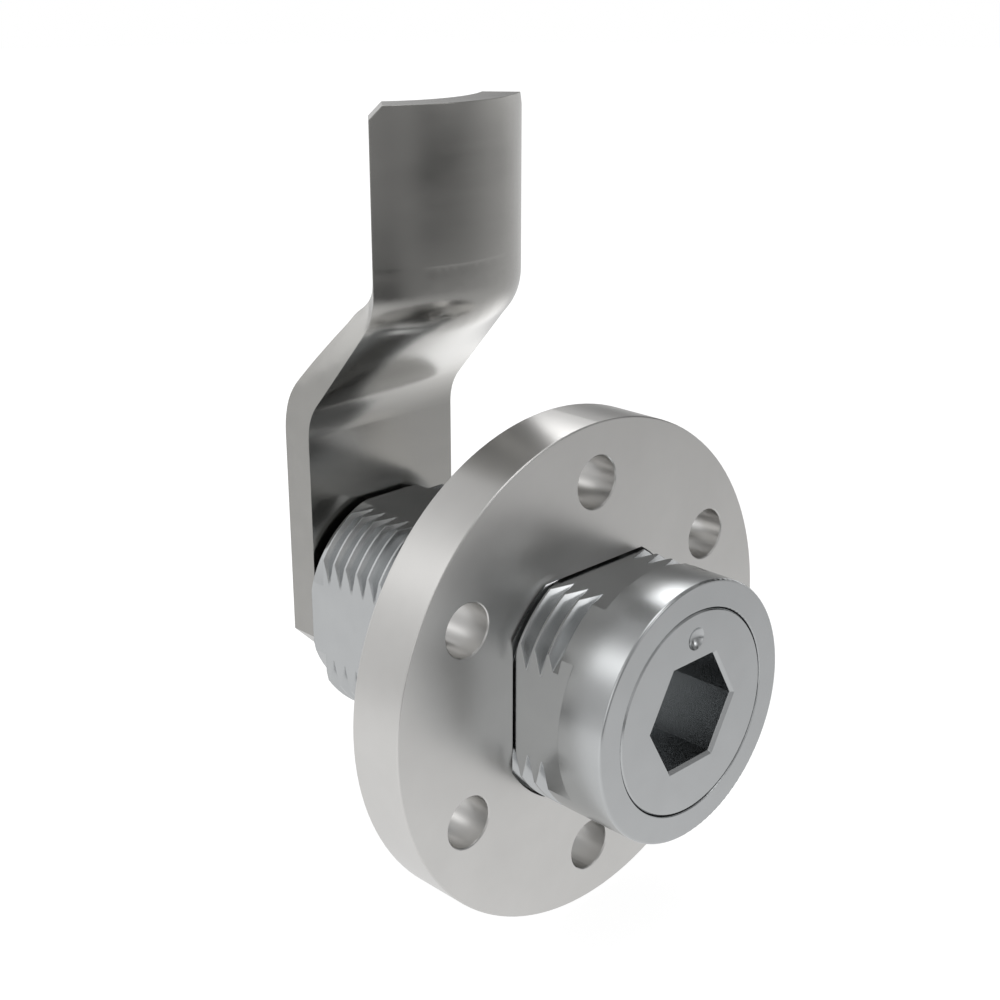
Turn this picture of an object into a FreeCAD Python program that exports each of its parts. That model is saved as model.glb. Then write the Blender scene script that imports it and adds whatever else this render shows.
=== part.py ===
"""Compression latch with a threaded barrel, a mounting flange, a hex drive and a cranked cam.

Millimetres. The latch axis is Y, and +Y runs from the door's outside to its inside. +Z is up.
The origin is the centre of the flange's front face. The latch is drawn closed and pulled in.
"""
import FreeCAD, Part
import math
import os

Vector = FreeCAD.Vector
AXIS = Vector(0, 1, 0)
CENTRE = Vector(0, 0, 0)

# Clearances
running_gap = 0.05
face_gap = 0.1
thread_gap = 0.08
loose_gap = 0.2
press_gap = 0.02

# How far a cutting shape reaches past the metal
over = 1.0

# Mounting flange
flange_r = 25.0
flange_t = 6.0
flange_edge = 0.15
bolt_circle_r = 19.2
bolt_hole_r = 2.55
bolt_hole_edge = 0.11
bolt_count = 6
flange_flat_gap = 0.23
flange_corner_gap = 0.17

# Barrel: round head, then a thread with four milled flats, then a plain end
barrel_r = 12.7
flat_cut = 1.93
head_face_y = -12.23
head_edge = 0.27
head_wall = 2.67
bore_edge = 0.12
barrel_wall = 1.3
flat_end_y = -5.8
flat_end_slope = 0.74
thread_pitch = 1.75
thread_depth = 1.13
thread_root_half = 0.11
thread_angle_deg = 60.0
thread_lead_in = 0.63
thread_run_out = 1.45
barrel_end_y = 29.4
barrel_end_length = 1.95
barrel_end_cut = 0.13
barrel_end_edge = 0.3

# Lock nut and toothed washer behind the flange
washer_t = 1.0
washer_tooth_count = 18
washer_tooth_depth = 0.9
nut_wall = 2.0
nut_t = 6.2
nut_edge = 0.7

# Drive: the disc that fills the head, with its hexagon socket and index dimple
disc_t = 4.6
disc_edge = 0.15
glide_t = 0.5
socket_flats = 10.0
socket_lead = 0.3
socket_depth = 9.0
socket_floor_t = 2.0
dimple_place = 7.4
dimple_ball_r = 1.3
dimple_depth = 0.6
seal_wire_r = 0.6
seal_squeeze = 0.04
seal_place = 2.8

# Drive sleeve with two helical slots, and the open ring that keeps it in
sleeve_wall = 1.8
stroke = 6.0
turn_deg = 90.0
pin_r = 1.5
pin_place = 4.5
pin_end_gap = 0.2
slot_end_land = 0.5
keeper_t = 1.0
keeper_depth = 0.8
keeper_reach = 0.75
keeper_land = 0.95
keeper_opening = 5.0

# Guide: the slotted sleeve that turns with the cam but doesn't slide
guide_wall = 1.45
guide_flange_t = 5.0
stop_pin_r = 1.0
stop_groove_depth = 1.4
ball_r = 1.0
ball_bite = 0.4
ball_spring_room = 2.4
ball_spring_wire_r = 0.14
ball_spring_turns = 5.0

# Spindle, its rear bush and its seal
spindle_nose = 2.4
square_flats = 7.0
shaft_seal_wire_r = 0.75
shaft_seal_place = 2.5
circlip_t = 1.0
circlip_depth = 0.6
circlip_width = 1.8
circlip_opening = 5.5
circlip_eye_r = 1.15
circlip_eye_hole_r = 0.6
circlip_cover = 1.2

# Cam: a flat plate at the spindle, cranked forward to a bowed tip
cam_gap = 0.7
cam_half_width = 9.8
cam_t = 3.7
cam_bottom_z = -9.6
cam_bottom_chamfer = 6.4
crank_start_z = 18.7
crank_end_z = 35.0
crank_lower_r = 5.55
crank_upper_r = 5.8
crank_tightening = 0.35
crank_top_z = 37.5
crank_offset = 10.63
tip_bow = 3.56
bow_first_row = 0.5
bow_full_row = 2.7
cam_top_z = 52.3
cam_top_chamfer = 1.25

# Cam fastening
cam_washer_r = 7.5
cam_washer_t = 1.2
spring_washer_r = 4.6
spring_washer_t = 1.2
spring_washer_slit = 0.8
slit_lean_deg = 20.0
bolt_r = 2.5
bolt_head_flats = 8.0
bolt_head_t = 3.5
bolt_head_edge = 0.4
bolt_reach = 11.0
bolt_hole_spare = 2.0

# Radii that follow, from the outside in
barrel_flat = barrel_r - flat_cut
thread_root_r = barrel_r - thread_depth
thread_slope = math.tan(math.radians(thread_angle_deg / 2))
barrel_end_r = thread_root_r - barrel_end_cut
nut_flats = 2 * (barrel_r + nut_wall)
washer_r = nut_flats / 2 - face_gap
disc_bore_r = barrel_r - head_wall
disc_r = disc_bore_r - face_gap
rear_bore_r = barrel_flat - barrel_wall
keeper_r = rear_bore_r - face_gap
sleeve_r = keeper_r - keeper_reach
sleeve_bore_r = sleeve_r + face_gap
sleeve_inner_r = sleeve_r - sleeve_wall
keeper_groove_r = sleeve_r - keeper_depth
guide_r = sleeve_inner_r - face_gap
guide_bore_r = guide_r - guide_wall
spindle_r = guide_bore_r - running_gap
guide_flange_r = rear_bore_r - face_gap
stop_floor_r = guide_flange_r - stop_groove_depth
ball_place = (guide_bore_r + stop_floor_r) / 2
bush_r = rear_bore_r - running_gap
circlip_groove_r = rear_bore_r + circlip_depth
slot_half = pin_r + running_gap

# Places along the axis that follow, from the head to the cam
seal_y = head_face_y + seal_place
disc_back_y = head_face_y + disc_t
shoulder_y = disc_back_y + glide_t + face_gap
thread_start_y = flat_end_y + thread_lead_in
thread_first_turn = 2 * thread_pitch / 3
socket_floor_y = head_face_y + socket_depth
sleeve_room_y = socket_floor_y + socket_floor_t
pin_y = sleeve_room_y + pin_place
spindle_front_y = pin_y - spindle_nose
slot_last_y = pin_y + stroke
step_y = slot_last_y + slot_half + slot_end_land
keeper_y = step_y + face_gap
sleeve_end_y = keeper_y + keeper_t + keeper_land
guide_flange_y = sleeve_end_y + loose_gap
guide_back_y = guide_flange_y + guide_flange_t
stop_pin_y = guide_flange_y + guide_flange_t / 2
ball_y = guide_back_y + ball_bite - ball_r
ball_hole_y = ball_y - ball_r - ball_spring_room
bush_y = guide_back_y + face_gap
circlip_y = barrel_end_y - circlip_cover - circlip_t
bush_end_y = circlip_y - face_gap
shaft_seal_y = bush_end_y - shaft_seal_place
thread_end_y = barrel_end_y - barrel_end_length
washer_y = flange_t
nut_y = washer_y + washer_t
nut_back_y = nut_y + nut_t
cam_face_y = barrel_end_y + cam_gap
cam_back_y = cam_face_y + cam_t
square_end_y = cam_back_y - loose_gap
tip_edge_y = cam_face_y - crank_offset
bow_radius = (cam_half_width ** 2 + tip_bow ** 2) / (2 * tip_bow)
cam_washer_y = cam_back_y
spring_washer_y = cam_washer_y + cam_washer_t
bolt_head_y = spring_washer_y + spring_washer_t
far = 100.0


def solid_of_revolution(points):
    """Turns a closed outline of (radius, y) points about the latch axis."""
    corners = [Vector(r, y, 0) for r, y in points]
    face = Part.Face(Part.makePolygon(corners + corners[:1]))
    return face.revolve(CENTRE, AXIS, 360)


def cylinder(radius, y0, y1):
    return Part.makeCylinder(radius, y1 - y0, Vector(0, y0, 0), AXIS)


def ring(outer, inner, y0, y1):
    return cylinder(outer, y0, y1).cut(cylinder(inner, y0 - over, y1 + over))


def block(half_x, half_z, y0, y1):
    return Part.makeBox(2 * half_x, y1 - y0, 2 * half_z, Vector(-half_x, y0, -half_z))


def hexagon(flats, y):
    """Closed wire of a hexagon across the latch axis, with a corner on +X."""
    corner_r = flats / math.sqrt(3)
    corners = []
    for i in range(6):
        a = math.radians(60 * i)
        corners.append(Vector(corner_r * math.cos(a), y, corner_r * math.sin(a)))
    return Part.makePolygon(corners + corners[:1])


def hex_prism(flats, y0, y1):
    return Part.Face(hexagon(flats, y0)).extrude(AXIS * (y1 - y0))


def rounded_hex(flats, y0, y1, edge0, edge1):
    """Hexagon prism whose corners are turned off at both ends, two across for one along."""
    corner_r = flats / math.sqrt(3)
    rounding = solid_of_revolution([
        (0, y0),
        (corner_r - 2 * edge0, y0),
        (corner_r + over, y0 + edge0 + over / 2),
        (corner_r + over, y1 - edge1 - over / 2),
        (corner_r - 2 * edge1, y1),
        (0, y1),
    ])
    return hex_prism(flats, y0, y1).common(rounding)


def turned(shape, degrees):
    """A copy turned about the latch axis."""
    copy = shape.copy()
    copy.rotate(CENTRE, AXIS, degrees)
    return copy


def helical_ridge(profile, lead, height, start_y):
    """Sweeps (radius, offset) points along a right-hand helix that starts on the -X side."""
    helix = Part.makeLongHelix(lead, height, profile[0][0], 0, False)
    corners = [Vector(r, 0, z) for r, z in profile]
    wire = Part.makePolygon(corners + corners[:1])
    ridge = helix.makePipeShell([wire], True, True)
    ridge.rotate(CENTRE, Vector(1, 0, 0), -90)
    ridge.rotate(CENTRE, AXIS, 180)
    ridge.translate(Vector(0, start_y, 0))
    return ridge


def groove_half(radius):
    """Half the width of the thread's groove at a radius."""
    return thread_root_half + (radius - thread_root_r) * thread_slope


def make_housing():
    outline = [
        (0, head_face_y),
        (barrel_r, head_face_y),
        (barrel_r, thread_end_y),
        (barrel_end_r, thread_end_y),
        (barrel_end_r, barrel_end_y - barrel_end_edge),
        (barrel_end_r - barrel_end_edge, barrel_end_y),
        (0, barrel_end_y),
    ]
    body = solid_of_revolution(outline)

    # The head's rim is the longest edge at the front
    rim = max(body.Edges, key=lambda edge: edge.Length - edge.BoundBox.YMax)
    body = body.makeFillet(head_edge, [rim])

    # The milling cutter leaves a cone where the flats run out at the head
    inner = barrel_flat - over
    outer = barrel_r + over
    cutter = solid_of_revolution([
        (inner, flat_end_y + flat_end_slope),
        (inner, barrel_end_y + over),
        (outer, barrel_end_y + over),
        (outer, flat_end_y - (outer - barrel_flat) * flat_end_slope),
    ])
    square = block(barrel_flat, barrel_flat, head_face_y, barrel_end_y + 2 * over)
    body = body.cut(cutter.cut(square))

    tip = barrel_r + thread_gap
    groove = [
        (thread_root_r, -groove_half(thread_root_r)),
        (thread_root_r, groove_half(thread_root_r)),
        (tip, groove_half(tip)),
        (tip, -groove_half(tip)),
    ]
    length = thread_end_y - thread_start_y + thread_pitch
    ridge = helical_ridge(groove, thread_pitch, length, thread_start_y)

    # The first groove starts shallow: an off-centre cylinder lifts its floor in the first eighth turn
    shift = thread_run_out / math.sqrt(2)
    floor = Part.makeCylinder(thread_root_r, 2 * thread_pitch, Vector(-shift, 0, -shift), AXIS)
    first = Part.makeBox(far, 2 * thread_pitch, far, Vector(-far, 0, 0))
    floor = floor.common(first)
    floor.translate(Vector(0, thread_start_y + thread_first_turn - 2 * thread_pitch, 0))
    body = body.cut(ridge.cut(floor))

    # The bore's mouth is rounded where the disc sits in it
    mouth_r = disc_bore_r + bore_edge
    mouth_y = head_face_y + bore_edge
    mouth = cylinder(mouth_r, head_face_y - over, mouth_y)
    mouth = mouth.cut(Part.makeTorus(mouth_r, bore_edge, Vector(0, mouth_y, 0), AXIS))
    bores = cylinder(disc_bore_r, head_face_y - over, shoulder_y).fuse(mouth)
    bores = bores.fuse(cylinder(sleeve_bore_r, shoulder_y - over, step_y + over))
    bores = bores.fuse(cylinder(rear_bore_r, step_y, barrel_end_y + over))
    groove_end = circlip_y + circlip_t + running_gap
    bores = bores.fuse(cylinder(circlip_groove_r, circlip_y - running_gap, groove_end))
    pin_hole_r = stop_pin_r + press_gap
    pin_hole = Part.makeCylinder(pin_hole_r, far, Vector(0, stop_pin_y, 0), Vector(0, 0, -1))
    return body.cut(bores).cut(pin_hole)


def make_flange():
    disc = cylinder(flange_r, 0, flange_t)
    disc = disc.makeFillet(flange_edge, disc.Edges)
    opening = cylinder(barrel_r + flange_corner_gap, -over, flange_t + over)
    half = barrel_flat + flange_flat_gap
    opening = opening.common(block(half, half, -over, flange_t + over))
    disc = disc.cut(opening)
    wide = bolt_hole_r + bolt_hole_edge
    hole = solid_of_revolution([
        (0, -over),
        (wide + over, -over),
        (bolt_hole_r, bolt_hole_edge),
        (bolt_hole_r, flange_t - bolt_hole_edge),
        (wide + over, flange_t + over),
        (0, flange_t + over),
    ])
    hole.translate(Vector(bolt_circle_r, 0, 0))
    for i in range(bolt_count):
        disc = disc.cut(turned(hole, 360.0 / bolt_count * (i + 0.5)))
    return disc


def make_toothed_washer():
    washer = ring(washer_r, barrel_r + loose_gap, washer_y, nut_y)
    notch_r = washer_tooth_depth / 2
    for i in range(washer_tooth_count):
        a = 2 * math.pi * i / washer_tooth_count
        place = Vector(washer_r * math.cos(a), washer_y - over, washer_r * math.sin(a))
        washer = washer.cut(Part.makeCylinder(notch_r, washer_t + 2 * over, place, AXIS))
    return washer


def make_lock_nut():
    nut = rounded_hex(nut_flats, nut_y, nut_back_y, nut_edge, nut_edge)
    nut = nut.cut(cylinder(thread_root_r + thread_gap, nut_y - over, nut_back_y + over))

    # The nut's thread is the gap between the barrel's grooves, opened by the thread's clearance
    bottom = thread_root_r + thread_gap / 2
    top = barrel_r + thread_gap
    side = thread_gap * math.sqrt(1 + thread_slope ** 2)
    cut = [
        (bottom, groove_half(bottom) - thread_pitch / 2 - side),
        (bottom, thread_pitch / 2 - groove_half(bottom) + side),
        (top, thread_pitch / 2 - groove_half(top) + side),
        (top, groove_half(top) - thread_pitch / 2 - side),
    ]
    skipped = math.floor((nut_y - thread_start_y) / thread_pitch) - 1.5
    start = thread_start_y + skipped * thread_pitch
    nut = nut.cut(helical_ridge(cut, thread_pitch, nut_t + 4 * thread_pitch, start))
    mouth = barrel_r + loose_gap
    for y, way in ((nut_y, over), (nut_back_y, -over)):
        nut = nut.cut(solid_of_revolution([
            (0, y - way),
            (mouth + over, y - way),
            (mouth - over, y + way),
            (0, y + way),
        ]))
    return nut


def make_drive():
    seal_half = seal_wire_r + face_gap
    seal_floor_r = disc_bore_r - 2 * (seal_wire_r + seal_squeeze)
    body = solid_of_revolution([
        (0, head_face_y),
        (disc_r - disc_edge, head_face_y),
        (disc_r, head_face_y + disc_edge),
        (disc_r, seal_y - seal_half),
        (seal_floor_r, seal_y - seal_half),
        (seal_floor_r, seal_y + seal_half),
        (disc_r, seal_y + seal_half),
        (disc_r, disc_back_y),
        (sleeve_r, disc_back_y),
        (sleeve_r, keeper_y - running_gap),
        (keeper_groove_r, keeper_y - running_gap),
        (keeper_groove_r, keeper_y + keeper_t + running_gap),
        (sleeve_r, keeper_y + keeper_t + running_gap),
        (sleeve_r, sleeve_end_y),
        (sleeve_inner_r, sleeve_end_y),
        (sleeve_inner_r, sleeve_room_y),
        (0, sleeve_room_y),
    ])
    body = body.cut(hex_prism(socket_flats, head_face_y - over, socket_floor_y))
    mouth = hexagon(socket_flats + 2 * socket_lead, head_face_y)
    neck = hexagon(socket_flats, head_face_y + socket_lead)
    body = body.cut(Part.makeLoft([mouth, neck], True, True))
    dimple_y = head_face_y - dimple_ball_r + dimple_depth
    body = body.cut(Part.makeSphere(dimple_ball_r, Vector(0, dimple_y, dimple_place)))

    # Two helical slots push the cross pin back by the stroke in one quarter turn
    lead = stroke * 360.0 / turn_deg
    steepest = math.atan(lead / (2 * math.pi * sleeve_inner_r))
    half = slot_half / math.cos(steepest)
    inner = sleeve_inner_r - face_gap
    outer = sleeve_r + face_gap
    profile = [(inner, -half), (inner, half), (outer, half), (outer, -half)]
    slot = helical_ridge(profile, lead, stroke, pin_y)
    start = Part.makeCylinder(half, far, Vector(0, pin_y, 0), Vector(-1, 0, 0))
    finish = Part.makeCylinder(half, far, Vector(0, slot_last_y, 0), Vector(-1, 0, 0))
    finish = turned(finish, turn_deg)
    slot = slot.fuse(start).fuse(finish)
    return body.cut(slot).cut(turned(slot, 180))


def make_drive_seal():
    centre_r = disc_bore_r - seal_squeeze - seal_wire_r
    return Part.makeTorus(centre_r, seal_wire_r, Vector(0, seal_y, 0), AXIS)


def make_glide_washer():
    y = disc_back_y + running_gap
    return ring(disc_r - face_gap, sleeve_bore_r + face_gap, y, y + glide_t)


def make_drive_keeper():
    """Open ring in the sleeve's groove, which keeps the drive in the barrel."""
    keeper = ring(keeper_r, keeper_groove_r + running_gap, keeper_y, keeper_y + keeper_t)
    gap = Part.makeBox(keeper_opening, 2 * keeper_t, far)
    gap.translate(Vector(-keeper_opening / 2, keeper_y - keeper_t / 2, 0))
    return keeper.cut(gap)


def stop_groove():
    """Quarter-turn groove round the guide's flange, from -Z to -X, for the stop pin's end."""
    half = stop_pin_r + running_gap
    outer_r = guide_flange_r + over
    corners = [
        Vector(stop_floor_r, stop_pin_y - half, 0),
        Vector(outer_r, stop_pin_y - half, 0),
        Vector(outer_r, stop_pin_y + half, 0),
        Vector(stop_floor_r, stop_pin_y + half, 0),
    ]
    face = Part.Face(Part.makePolygon(corners + corners[:1]))
    groove = turned(face.revolve(CENTRE, AXIS, turn_deg), 90)
    start = Vector(0, stop_pin_y, -stop_floor_r)
    end = Part.makeCylinder(half, outer_r - stop_floor_r, start, Vector(0, 0, -1))
    return groove.fuse(end).fuse(turned(end, turn_deg))


def ball_places():
    """The two balls stand on opposite sides, clear of the stop groove."""
    places = []
    for degrees in (45.0, 225.0):
        a = math.radians(degrees)
        places.append(Vector(ball_place * math.sin(a), 0, ball_place * math.cos(a)))
    return places


def make_guide():
    body = ring(guide_r, guide_bore_r, sleeve_room_y + loose_gap, guide_back_y)
    body = body.fuse(ring(guide_flange_r, guide_bore_r, guide_flange_y, guide_back_y))
    for y in (pin_y, slot_last_y):
        hole = Part.makeCylinder(slot_half, 2 * far, Vector(-far, y, 0), Vector(1, 0, 0))
        body = body.cut(hole)
    body = body.cut(block(far, slot_half, pin_y, slot_last_y))
    body = body.cut(stop_groove())
    for place in ball_places():
        start = place + Vector(0, ball_hole_y, 0)
        body = body.cut(Part.makeCylinder(ball_r + running_gap, far, start, AXIS))
    return body


def make_detent_balls():
    centres = [place + Vector(0, ball_y, 0) for place in ball_places()]
    return Part.makeCompound([Part.makeSphere(ball_r, c) for c in centres])


def make_detent_springs():
    """Two small coil springs behind the balls."""
    low_y = ball_hole_y + running_gap + ball_spring_wire_r
    height = ball_spring_room - 2 * (running_gap + ball_spring_wire_r)
    mean_r = ball_r - ball_spring_wire_r - running_gap
    pitch = height / ball_spring_turns
    springs = []
    for place in ball_places():
        helix = Part.makeLongHelix(pitch, height, mean_r, 0, False)
        circle = Part.makeCircle(ball_spring_wire_r, Vector(mean_r, 0, 0), Vector(0, 1, 0))
        coil = helix.makePipeShell([Part.Wire(circle)], True, True)
        coil.rotate(CENTRE, Vector(1, 0, 0), -90)
        coil.translate(place + Vector(0, low_y, 0))
        springs.append(coil)
    return Part.makeCompound(springs)


def make_stop_pin():
    inner_r = stop_floor_r + face_gap
    length = barrel_flat - face_gap - inner_r
    start = Vector(0, stop_pin_y, -inner_r)
    return Part.makeCylinder(stop_pin_r, length, start, Vector(0, 0, -1))


def make_rear_bush():
    bush = ring(bush_r, guide_bore_r, bush_y, bush_end_y)
    half = shaft_seal_wire_r + face_gap
    floor_r = spindle_r + 2 * (shaft_seal_wire_r + seal_squeeze) + face_gap
    bush = bush.cut(ring(floor_r, guide_bore_r - over, shaft_seal_y - half, shaft_seal_y + half))

    # A shallow track for the balls, with a deeper seat at each quarter turn
    track = Part.makeTorus(ball_place, ball_r + running_gap, Vector(0, ball_y, 0), AXIS)
    bush = bush.cut(track)
    seat = Part.makeSphere(ball_r + loose_gap, ball_places()[0] + Vector(0, ball_y, 0))
    for quarter in range(4):
        bush = bush.cut(turned(seat, quarter * turn_deg))
    return bush


def make_shaft_seal():
    centre_r = spindle_r + seal_squeeze + shaft_seal_wire_r
    return Part.makeTorus(centre_r, shaft_seal_wire_r, Vector(0, shaft_seal_y, 0), AXIS)


def make_circlip():
    """Open ring with two eyes, which holds the bush in the barrel's end."""
    outer = circlip_groove_r - running_gap
    clip = ring(outer, outer - circlip_width, circlip_y, circlip_y + circlip_t)
    gap = Part.makeBox(circlip_opening, 2 * circlip_t, far)
    gap.translate(Vector(-circlip_opening / 2, circlip_y - circlip_t / 2, -far))
    clip = clip.cut(gap)
    eye_x = (circlip_opening + circlip_eye_r) / 2
    eye_r = rear_bore_r - face_gap - circlip_eye_r
    eye_z = -math.sqrt(eye_r ** 2 - eye_x ** 2)
    for side in (-1, 1):
        place = Vector(side * eye_x, circlip_y, eye_z)
        clip = clip.fuse(Part.makeCylinder(circlip_eye_r, circlip_t, place, AXIS))
        clip = clip.cut(Part.makeCylinder(circlip_eye_hole_r, far, place - AXIS, AXIS))
    return clip


def make_spindle():
    body = cylinder(spindle_r, spindle_front_y, cam_face_y)
    square = block(square_flats / 2, square_flats / 2, cam_face_y - over, square_end_y)
    body = body.fuse(square.common(cylinder(spindle_r, cam_face_y - over, square_end_y)))
    cross = Part.makeCylinder(pin_r + press_gap, 2 * far, Vector(-far, pin_y, 0), Vector(1, 0, 0))
    body = body.cut(cross)
    depth = bolt_reach + bolt_hole_spare
    return body.cut(cylinder(bolt_r + running_gap, square_end_y - depth, square_end_y + over))


def make_cross_pin():
    half = sleeve_r - pin_end_gap
    return Part.makeCylinder(pin_r, 2 * half, Vector(-half, pin_y, 0), Vector(1, 0, 0))


def tip_front_y(x):
    """Front face of the bowed tip: a circle through both edges and the bowed-out middle."""
    centre_y = tip_edge_y - tip_bow + bow_radius
    return centre_y - math.sqrt(bow_radius ** 2 - x ** 2)


def crank_profile(x, row, depth):
    """Point (y, z) of the crank at a depth below its front face. Rows 0 to 1 are the lower bend,
    1 to 2 the straight slope, 2 to 3 the upper bend and 3 to 4 the foot of the straight tip."""
    drop = cam_face_y - tip_front_y(x)
    rise = crank_end_z - crank_start_z
    radii = crank_lower_r + crank_upper_r
    slope_length = math.sqrt(rise ** 2 + (radii - drop) ** 2 - radii ** 2)
    full = math.atan2(rise, radii - drop) - math.atan2(slope_length, radii)
    lower_r = crank_lower_r + depth
    upper_r = crank_upper_r - depth * crank_tightening
    bend_end_z = crank_end_z + depth * (1 - crank_tightening) * math.tan(full / 2)
    if row <= 1:
        lean = full * row
        y = cam_face_y + depth - lower_r * (1 - math.cos(lean))
        return y, crank_start_z + lower_r * math.sin(lean)
    if row >= 3:
        return cam_face_y + depth - drop, bend_end_z + (crank_top_z - bend_end_z) * (row - 3)
    if row >= 2:
        lean = full * (3 - row)
        y = cam_face_y + depth - drop + upper_r * (1 - math.cos(lean))
        return y, bend_end_z - upper_r * math.sin(lean)
    low_y, low_z = crank_profile(x, 1, depth)
    high_y, high_z = crank_profile(x, 2, depth)
    return low_y + (high_y - low_y) * (row - 1), low_z + (high_z - low_z) * (row - 1)


def crank_point(x, row, depth):
    """Point of the crank at a depth that leans with the bow, from nothing at the foot to all of it."""
    along = min(max((row - bow_first_row) / (bow_full_row - bow_first_row), 0), 1)
    lean = math.asin(x / bow_radius) * along ** 2 * (3 - 2 * along)
    y, z = crank_profile(x, row, depth * math.cos(lean))
    return Vector(x - depth * math.sin(lean), y, z)


def crank_sheet(depth, rows, columns):
    sheet = Part.BSplineSurface()
    points = [[crank_point(x, row, depth) for row in rows] for x in columns]
    sheet.interpolate(points)
    return sheet.toShape()


def edge_at(face, test):
    """The edge of a face whose middle passes the test best."""
    def middle(edge):
        return edge.valueAt((edge.FirstParameter + edge.LastParameter) / 2)
    return min(face.Edges, key=lambda edge: test(middle(edge)))


def make_cam():
    bend_steps = 8
    slope_steps = 6
    foot_steps = 3
    rows = [i / bend_steps for i in range(bend_steps)]
    rows += [1 + i / slope_steps for i in range(slope_steps)]
    rows += [2 + i / bend_steps for i in range(bend_steps)]
    rows += [3 + i / foot_steps for i in range(foot_steps + 1)]
    column_count = 13
    columns = [cam_half_width * (2 * i / (column_count - 1) - 1) for i in range(column_count)]
    front = crank_sheet(0, rows, columns)
    back = crank_sheet(cam_t, rows, columns)
    tests = [
        lambda p: p.x,
        lambda p: -p.x,
        lambda p: p.z,
        lambda p: -p.z,
    ]
    sides = [Part.makeRuledSurface(edge_at(front, t), edge_at(back, t)) for t in tests]
    shell = Part.makeShell([front, back] + sides)
    shell.sewShape(0.001)
    crank = Part.makeSolid(shell)
    lower = sides[2].extrude(Vector(0, 0, cam_bottom_z - crank_start_z))
    upper = sides[3].extrude(Vector(0, 0, cam_top_z - crank_top_z))
    cam = crank.fuse([lower, upper]).removeSplitter()

    # Corners cut at 45 degrees in the flat blank, so at the tip they lean with the bow
    foot = (cam_bottom_z, -1, cam_bottom_chamfer, cam_face_y, 0)
    tip = (cam_top_z, 1, cam_top_chamfer, tip_edge_y, math.asin(cam_half_width / bow_radius))
    for side in (-1, 1):
        for z, way, size, y, lean in (foot, tip):
            edge = Vector(side * cam_half_width, y, z)
            up = Vector(0, 0, way)
            out = Vector(side * math.cos(lean), math.sin(lean), 0)
            inward = Vector(-side * math.sin(lean), math.cos(lean), 0)
            corner = [
                edge - out * size + up * over,
                edge - out * size,
                edge - up * size,
                edge - up * size + out * over,
                edge + up * over + out * over,
            ]
            wedge = Part.Face(Part.makePolygon(corner + corner[:1])).extrude(inward * (cam_t + 2 * over))
            wedge.translate(inward * -over)
            cam = cam.cut(wedge)
    hole_half = square_flats / 2 + running_gap
    return cam.cut(block(hole_half, hole_half, cam_face_y - over, cam_back_y + over))


def make_cam_washer():
    return ring(cam_washer_r, bolt_r + loose_gap, cam_washer_y, spring_washer_y)


def make_spring_washer():
    washer = ring(spring_washer_r, bolt_r + loose_gap, spring_washer_y, bolt_head_y)
    slit = Part.makeBox(spring_washer_slit, 3 * spring_washer_t, far)
    slit.translate(Vector(-spring_washer_slit / 2, spring_washer_y - spring_washer_t, 0))
    slit.rotate(Vector(0, (spring_washer_y + bolt_head_y) / 2, 0), Vector(0, 0, 1), slit_lean_deg)
    return washer.cut(slit)


def make_cam_bolt():
    head = rounded_hex(bolt_head_flats, bolt_head_y, bolt_head_y + bolt_head_t, 0, bolt_head_edge)
    return head.fuse(cylinder(bolt_r, square_end_y - bolt_reach, bolt_head_y + over))


parts = {
    "housing": make_housing,
    "flange": make_flange,
    "toothed_washer": make_toothed_washer,
    "lock_nut": make_lock_nut,
    "drive": make_drive,
    "drive_seal": make_drive_seal,
    "glide_washer": make_glide_washer,
    "drive_keeper": make_drive_keeper,
    "guide_sleeve": make_guide,
    "detent_balls": make_detent_balls,
    "detent_springs": make_detent_springs,
    "stop_pin": make_stop_pin,
    "rear_bush": make_rear_bush,
    "shaft_seal": make_shaft_seal,
    "circlip": make_circlip,
    "spindle": make_spindle,
    "cross_pin": make_cross_pin,
    "cam": make_cam,
    "cam_washer": make_cam_washer,
    "spring_washer": make_spring_washer,
    "cam_bolt": make_cam_bolt,
}

os.makedirs("parts", exist_ok=True)
for name, make in parts.items():
    shape = make()
    shape.exportStep("parts/" + name + ".step")
    box = shape.BoundBox
    size = "%.2f x %.2f x %.2f" % (box.XLength, box.YLength, box.ZLength)
    print(name, "solids", len(shape.Solids), "valid", shape.isValid(), "volume %.1f" % shape.Volume, size)
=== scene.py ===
"""Looks of the compression latch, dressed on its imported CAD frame. Lengths are in metres."""
import math

import bpy
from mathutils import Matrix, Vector


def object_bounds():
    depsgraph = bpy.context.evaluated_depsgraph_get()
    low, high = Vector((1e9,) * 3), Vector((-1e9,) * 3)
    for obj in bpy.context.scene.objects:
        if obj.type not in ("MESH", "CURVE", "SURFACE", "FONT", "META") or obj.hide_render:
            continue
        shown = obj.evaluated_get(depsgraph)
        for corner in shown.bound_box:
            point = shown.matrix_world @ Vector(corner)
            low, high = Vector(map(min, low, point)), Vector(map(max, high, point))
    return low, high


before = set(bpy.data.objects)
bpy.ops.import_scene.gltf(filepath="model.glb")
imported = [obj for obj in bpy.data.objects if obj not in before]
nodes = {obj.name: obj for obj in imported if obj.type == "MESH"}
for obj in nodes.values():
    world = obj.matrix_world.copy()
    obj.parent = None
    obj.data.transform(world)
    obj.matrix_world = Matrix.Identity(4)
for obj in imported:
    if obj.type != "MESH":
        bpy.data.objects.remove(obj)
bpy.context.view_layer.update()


# Barrel housing and drive disc
# Both are turned and milled from stainless steel bar, then tumbled with fine stones to an even satin.
# The tumbling rounds every edge a little and leaves a fine grain with no direction, cool grey in the light.

def linear(hex_colour):
    """An sRGB hex colour as linear RGBA."""
    channels = [int(hex_colour[i:i + 2], 16) / 255 for i in (1, 3, 5)]
    values = [c / 12.92 if c <= 0.04045 else ((c + 0.055) / 1.055) ** 2.4 for c in channels]
    return (*values, 1.0)


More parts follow.
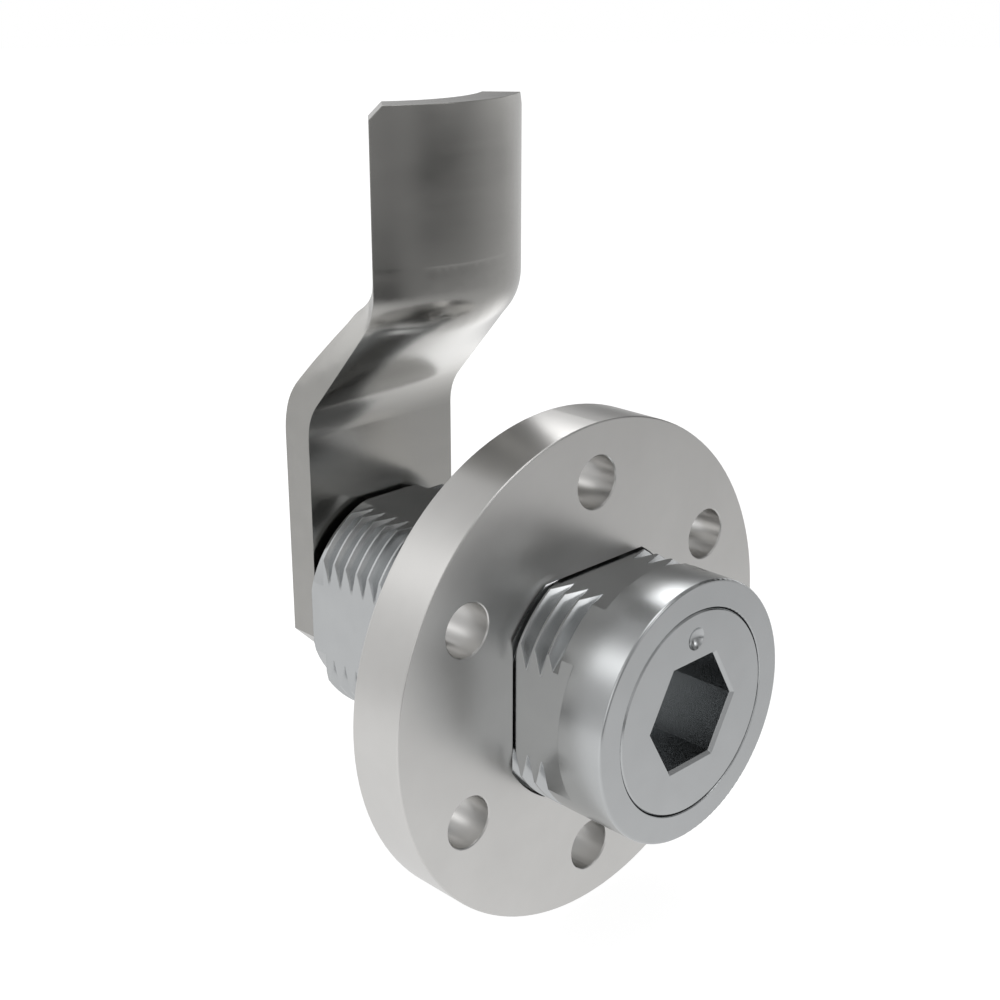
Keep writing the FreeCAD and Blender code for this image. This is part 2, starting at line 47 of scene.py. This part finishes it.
def add_node(tree, kind, settings=None, inputs=None):
    """Adds a node, sets its properties, and sets or links its inputs."""
    node = tree.nodes.new(kind)
    for name, value in (settings or {}).items():
        setattr(node, name, value)
    for name, value in (inputs or {}).items():
        if isinstance(value, bpy.types.NodeSocket):
            tree.links.new(value, node.inputs[name])
        else:
            node.inputs[name].default_value = value
    return node


def blank_material(name):
    """A new material with an empty node tree."""
    material = bpy.data.materials.new(name)
    material.use_nodes = True
    material.node_tree.nodes.clear()
    return material, material.node_tree


# Nearly all of a noise pattern lies between these two values
noise_low = 0.3
noise_high = 0.7


def clouded_colour(tree, colour, pattern, spread):
    """The colour, darker and lighter by up to the spread as the pattern goes."""
    shade = add_node(tree, "ShaderNodeMapRange", None, {
        "Value": pattern, "From Min": noise_low, "From Max": noise_high,
        "To Min": 1 - spread, "To Max": 1 + spread,
    }).outputs["Result"]
    return add_node(tree, "ShaderNodeVectorMath", {"operation": "SCALE"}, {
        0: linear(colour)[:3], "Scale": shade,
    }).outputs["Vector"]


metal_shade_spread = 0.035
metal_roughness_spread = 0.02
grain_seed_step = 5.0


def worked_metal(name, colour, roughness, grain_mm, grain_depth_mm, cloud_mm, edge_mm, seed, streak=1.0):
    """A metal with an even worked grain, faint cloudiness and softened edges.
    A streak above 1 draws the cloudiness out that many times along X."""
    material, tree = blank_material(name)
    place = add_node(tree, "ShaderNodeTexCoord").outputs["Object"]
    drawn_out = add_node(tree, "ShaderNodeVectorMath", {"operation": "MULTIPLY"}, {
        0: place, 1: (1 / streak, 1, 1),
    }).outputs["Vector"]

    # Clouds a few millimetres wide, where the finishing bit a little more or less
    clouds = add_node(tree, "ShaderNodeTexNoise", {"noise_dimensions": "4D"}, {
        "Vector": drawn_out, "W": seed, "Scale": 1000 / cloud_mm, "Detail": 3.0, "Roughness": 0.55,
    }).outputs["Fac"]
    # The worked grain itself, drawn a few times coarser than it is so that it shows
    grain = add_node(tree, "ShaderNodeTexNoise", {"noise_dimensions": "4D"}, {
        "Vector": place, "W": seed + grain_seed_step, "Scale": 1000 / grain_mm, "Detail": 2.0, "Roughness": 0.6,
    }).outputs["Fac"]

    tint = clouded_colour(tree, colour, clouds, metal_shade_spread)
    rough = add_node(tree, "ShaderNodeMapRange", None, {
        "Value": clouds, "From Min": noise_low, "From Max": noise_high,
        "To Min": roughness - metal_roughness_spread, "To Max": roughness + metal_roughness_spread,
    }).outputs["Result"]
    edges = add_node(tree, "ShaderNodeBevel", {"samples": 4}, {"Radius": edge_mm / 1000}).outputs["Normal"]
    relief = add_node(tree, "ShaderNodeBump", None, {
        "Strength": 1.0, "Distance": grain_depth_mm / 1000, "Height": grain, "Normal": edges,
    }).outputs["Normal"]
    metal = add_node(tree, "ShaderNodeBsdfPrincipled", None, {
        "Base Color": tint, "Metallic": 1.0, "Roughness": rough, "Normal": relief,
    }).outputs["BSDF"]
    add_node(tree, "ShaderNodeOutputMaterial", None, {"Surface": metal})
    return material


def finish_nodes(material, *names):
    """Gives a material to the CAD nodes named."""
    for name in names:
        mesh = nodes[name].data
        mesh.materials.clear()
        mesh.materials.append(material)


tumbled_steel = worked_metal(
    "tumbled_stainless", "#BDBFC0", roughness=0.22,
    grain_mm=0.16, grain_depth_mm=0.0008, cloud_mm=5.0, edge_mm=0.08, seed=1.0,
)
finish_nodes(tumbled_steel, "housing", "drive", "guide_sleeve", "spindle")


# Screw flange
# A turned stainless disc with six drilled holes, slipped over the barrel and screwed inside the door.
# It is faced and then blasted with fine glass beads, so it is matter and warmer than the barrel.

blasted_steel = worked_metal(
    "bead_blasted_stainless", "#CFCECC", roughness=0.30,
    grain_mm=0.2, grain_depth_mm=0.0010, cloud_mm=7.0, edge_mm=0.08, seed=2.0,
)
finish_nodes(blasted_steel, "flange")


# Cranked cam
# Pressed from 3.7 mm stainless plate, bent twice and bowed at its tip, and bolted to the spindle's end.
# Its faces keep the smoother skin of the rolled plate, clouded in streaks across the cam.

rolled_steel = worked_metal(
    "rolled_stainless", "#AAA9A6", roughness=0.20,
    grain_mm=0.25, grain_depth_mm=0.0008, cloud_mm=3.0, edge_mm=0.12, seed=3.0, streak=8.0,
)
finish_nodes(rolled_steel, "cam")


# Lock nut, washers and cam bolt
# Bought-in stainless fasteners that clamp the barrel behind the flange and the cam on its spindle.
# They are brighter than the latch itself, from cold forming and pickling.

fastener_steel = worked_metal(
    "bright_stainless", "#C9CACB", roughness=0.24,
    grain_mm=0.3, grain_depth_mm=0.0012, cloud_mm=4.0, edge_mm=0.05, seed=4.0,
)
finish_nodes(fastener_steel, "lock_nut", "toothed_washer", "cam_washer", "spring_washer", "cam_bolt")


# Pins, balls, springs and snap rings
# Hardened spring steel, dark from its oiled heat treatment.
# They are pressed or snapped into the barrel, the drive, the guide and the spindle.

oiled_steel = worked_metal(
    "oiled_spring_steel", "#6F7276", roughness=0.31,
    grain_mm=0.2, grain_depth_mm=0.0012, cloud_mm=3.0, edge_mm=0.03, seed=5.0,
)
finish_nodes(oiled_steel, "drive_keeper", "detent_balls", "detent_springs", "stop_pin", "circlip", "cross_pin")


# Rear bush
# Pressed and sintered from bronze powder, so it is slightly porous and matt.
# It is pushed into the barrel's rear end and carries the spindle.

sintered_bronze = worked_metal(
    "sintered_bronze", "#B98F58", roughness=0.42,
    grain_mm=0.12, grain_depth_mm=0.004, cloud_mm=3.0, edge_mm=0.05, seed=6.0,
)
finish_nodes(sintered_bronze, "rear_bush")


# Seals and glide washer
# Two black nitrile rings stretched into their grooves, and a natural nylon washer under the drive disc.
# All are moulded, with a fine matt skin.

skin_shade_spread = 0.1


def moulded(name, colour, roughness, grain_mm, grain_depth_mm):
    """A moulded rubber or plastic with a fine matt skin."""
    material, tree = blank_material(name)
    place = add_node(tree, "ShaderNodeTexCoord").outputs["Object"]
    skin = add_node(tree, "ShaderNodeTexNoise", None, {
        "Vector": place, "Scale": 1000 / grain_mm, "Detail": 3.0,
    }).outputs["Fac"]
    tint = clouded_colour(tree, colour, skin, skin_shade_spread)
    relief = add_node(tree, "ShaderNodeBump", None, {
        "Strength": 1.0, "Distance": grain_depth_mm / 1000, "Height": skin,
    }).outputs["Normal"]
    body = add_node(tree, "ShaderNodeBsdfPrincipled", None, {
        "Base Color": tint, "Roughness": roughness, "Normal": relief,
    }).outputs["BSDF"]
    add_node(tree, "ShaderNodeOutputMaterial", None, {"Surface": body})
    return material


nitrile = moulded("nitrile_rubber", "#161616", roughness=0.55, grain_mm=0.15, grain_depth_mm=0.002)
finish_nodes(nitrile, "drive_seal", "shaft_seal")
nylon = moulded("natural_nylon", "#D9D4C6", roughness=0.45, grain_mm=0.2, grain_depth_mm=0.001)
finish_nodes(nylon, "glide_washer")


# Studio table
# A white table top under the latch. The camera sees it white, with the latch's soft shadow.
# Steel mirrors a painted glow on it: painted pools of light and painted shadows, dimmer between and beyond the
# bright pools.

table_gap = 0.0002
table_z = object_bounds()[0].z - table_gap
table_r = 1.2
table_corners = 96
turns = [2 * math.pi * i / table_corners for i in range(table_corners)]
rim = [(table_r * math.cos(turn), table_r * math.sin(turn), table_z) for turn in turns]
table_mesh = bpy.data.meshes.new("studio_table")
table_mesh.from_pydata(rim, [], [list(range(table_corners))])
table = bpy.data.objects.new("studio_table", table_mesh)
bpy.context.scene.collection.objects.link(table)

table_level = 0.75
darkest_level = 0.02
painted_pools = [
    # place in millimetres, width in millimetres, strength of the painted light; a painted shadow's is negative
    (121, -500, 219, -0.81),
    (-107, -29, 74, 0.50),
    (83, 47, 30, 0.98),
    (-161, -152, 74, -0.99),
    (520, -150, 130, -0.25),
    (-380, -560, 140, -0.60),
    (110, -330, 75, 0.11),
    (440, -340, 90, -0.16),
]
shown_level = 0.9
shadow_paint = linear("#898989")


def add_patch(tree, brightness, falloff, strength):
    """Adds a soft-edged patch to a brightness. The falloff is 0 at its middle and negative around it."""
    patch = add_node(tree, "ShaderNodeMath", {"operation": "EXPONENT"}, {0: falloff}).outputs["Value"]
    return add_node(tree, "ShaderNodeMath", {"operation": "MULTIPLY_ADD"}, {
        0: patch, 1: strength, 2: brightness,
    }).outputs["Value"]


def never_black(tree, brightness):
    """The brightness, held at the darkest level or above."""
    return add_node(tree, "ShaderNodeMath", {"operation": "MAXIMUM"}, {
        0: brightness, 1: darkest_level,
    }).outputs["Value"]


def seen_by_camera(tree, ray):
    """1 for rays from the camera, straight or through clear material, and 0 for all others."""
    return add_node(tree, "ShaderNodeMath", {"operation": "MAXIMUM"}, {
        0: ray.outputs["Is Camera Ray"], 1: ray.outputs["Is Transmission Ray"],
    }).outputs["Value"]


matt_white, tree = blank_material("matt_white_table")
ray = add_node(tree, "ShaderNodeLightPath")
place = add_node(tree, "ShaderNodeTexCoord").outputs["Object"]
brightness = table_level
for x, y, width, strength in painted_pools:
    away = add_node(tree, "ShaderNodeVectorMath", {"operation": "DISTANCE"}, {
        0: place, 1: (x / 1000, y / 1000, table_z),
    }).outputs["Value"]
    ratio = add_node(tree, "ShaderNodeMath", {"operation": "DIVIDE"}, {0: away, 1: width / 1000}).outputs["Value"]
    square = add_node(tree, "ShaderNodeMath", {"operation": "MULTIPLY"}, {0: ratio, 1: ratio}).outputs["Value"]
    # Half the square, as in a bell curve
    falloff = add_node(tree, "ShaderNodeMath", {"operation": "MULTIPLY"}, {0: square, 1: -0.5}).outputs["Value"]
    brightness = add_patch(tree, brightness, falloff, strength)
brightness = never_black(tree, brightness)
paint = add_node(tree, "ShaderNodeBsdfDiffuse", None, {"Color": linear("#E6E6E6")}).outputs["BSDF"]
# Painted light that only steel sees on the table: an even glow with painted pools of light and painted shadows
painted_glow = add_node(tree, "ShaderNodeEmission", None, {"Strength": brightness}).outputs["Emission"]
lit = add_node(tree, "ShaderNodeEmission", None, {"Strength": shown_level}).outputs["Emission"]
dim_paint = add_node(tree, "ShaderNodeBsdfDiffuse", None, {"Color": shadow_paint}).outputs["BSDF"]
shown = add_node(tree, "ShaderNodeAddShader", None, {0: lit, 1: dim_paint}).outputs["Shader"]
for_steel = add_node(tree, "ShaderNodeMixShader", None, {
    "Fac": ray.outputs["Is Glossy Ray"], 1: paint, 2: painted_glow,
}).outputs["Shader"]
surface = add_node(tree, "ShaderNodeMixShader", None, {
    "Fac": seen_by_camera(tree, ray), 1: for_steel, 2: shown,
}).outputs["Shader"]
add_node(tree, "ShaderNodeOutputMaterial", None, {"Surface": surface})
table_mesh.materials.append(matt_white)


# Studio light
# A white room with soft boxes, and black flags between them that draw the dark bands in the steel.
# The camera sees plain white where the room has no table in front of it.

room_level = 0.29
white = linear("#FFFFFF")
soft_boxes = [
    # degrees round from +X towards +Y, degrees up, width in degrees, strength; a flag's is negative
    (-59, 13, 9, -0.76),
    (-4, -10, 18, 2.74),
    (141, 38, 9, 1.52),
    (93, -10, 36, 0.98),
    (53, 41, 9, 3.25),
    (-154, 18, 19, 0.93),
    (-72, 80, 11, 3.50),
    (-59, 66, 10, -0.95),
    (6, 11, 16, -0.73),
    (-69, 4, 9, 0.64),
    (-14, 8, 10, -1.50),
    (-69, 27, 7, 3.00),
    (36, -4, 14, -0.60),
]
world = bpy.data.worlds.new("studio")
bpy.context.scene.world = world
world.use_nodes = True
tree = world.node_tree
tree.nodes.clear()
ray = add_node(tree, "ShaderNodeLightPath")
direction = add_node(tree, "ShaderNodeTexCoord").outputs["Generated"]
brightness = room_level
for round_deg, up_deg, width_deg, strength in soft_boxes:
    a, up = math.radians(round_deg), math.radians(up_deg)
    toward = (math.cos(up) * math.cos(a), math.cos(up) * math.sin(a), math.sin(up))
    facing = add_node(tree, "ShaderNodeVectorMath", {"operation": "DOT_PRODUCT"}, {
        0: direction, 1: toward,
    }).outputs["Value"]
    # Near the box, one less the cosine is half the angle's square, so this is a bell curve too
    short = add_node(tree, "ShaderNodeMath", {"operation": "SUBTRACT"}, {0: facing, 1: 1.0}).outputs["Value"]
    falloff = add_node(tree, "ShaderNodeMath", {"operation": "DIVIDE"}, {
        0: short, 1: math.radians(width_deg) ** 2,
    }).outputs["Value"]
    brightness = add_patch(tree, brightness, falloff, strength)
brightness = never_black(tree, brightness)
room = add_node(tree, "ShaderNodeBackground", None, {"Color": white, "Strength": brightness}).outputs["Background"]
plain = add_node(tree, "ShaderNodeBackground", None, {"Color": white, "Strength": 1.0}).outputs["Background"]
sky = add_node(tree, "ShaderNodeMixShader", None, {
    "Fac": seen_by_camera(tree, ray), 1: room, 2: plain,
}).outputs["Shader"]
add_node(tree, "ShaderNodeOutputWorld", None, {"Surface": sky})


# Camera
# Stands in front of the latch, to the left and a little above, as the photograph was taken.
# The lens gives the photograph's own perspective and frame.

camera_place = (-0.104381, -0.091936, 0.067785)
camera_target = (-0.024736, -0.012131, 0.026923)
camera_data = bpy.data.cameras.new("camera")
camera_data.sensor_width = 36.0
camera_data.lens = 57.54
camera_data.clip_start = 0.005
camera = bpy.data.objects.new("camera", camera_data)
bpy.context.scene.collection.objects.link(camera)
camera.location = camera_place
aim = Vector(camera_target) - camera.location
camera.rotation_euler = aim.to_track_quat("-Z", "Y").to_euler()
bpy.context.scene.camera = camera
bpy.context.scene.view_settings.view_transform = "Standard"
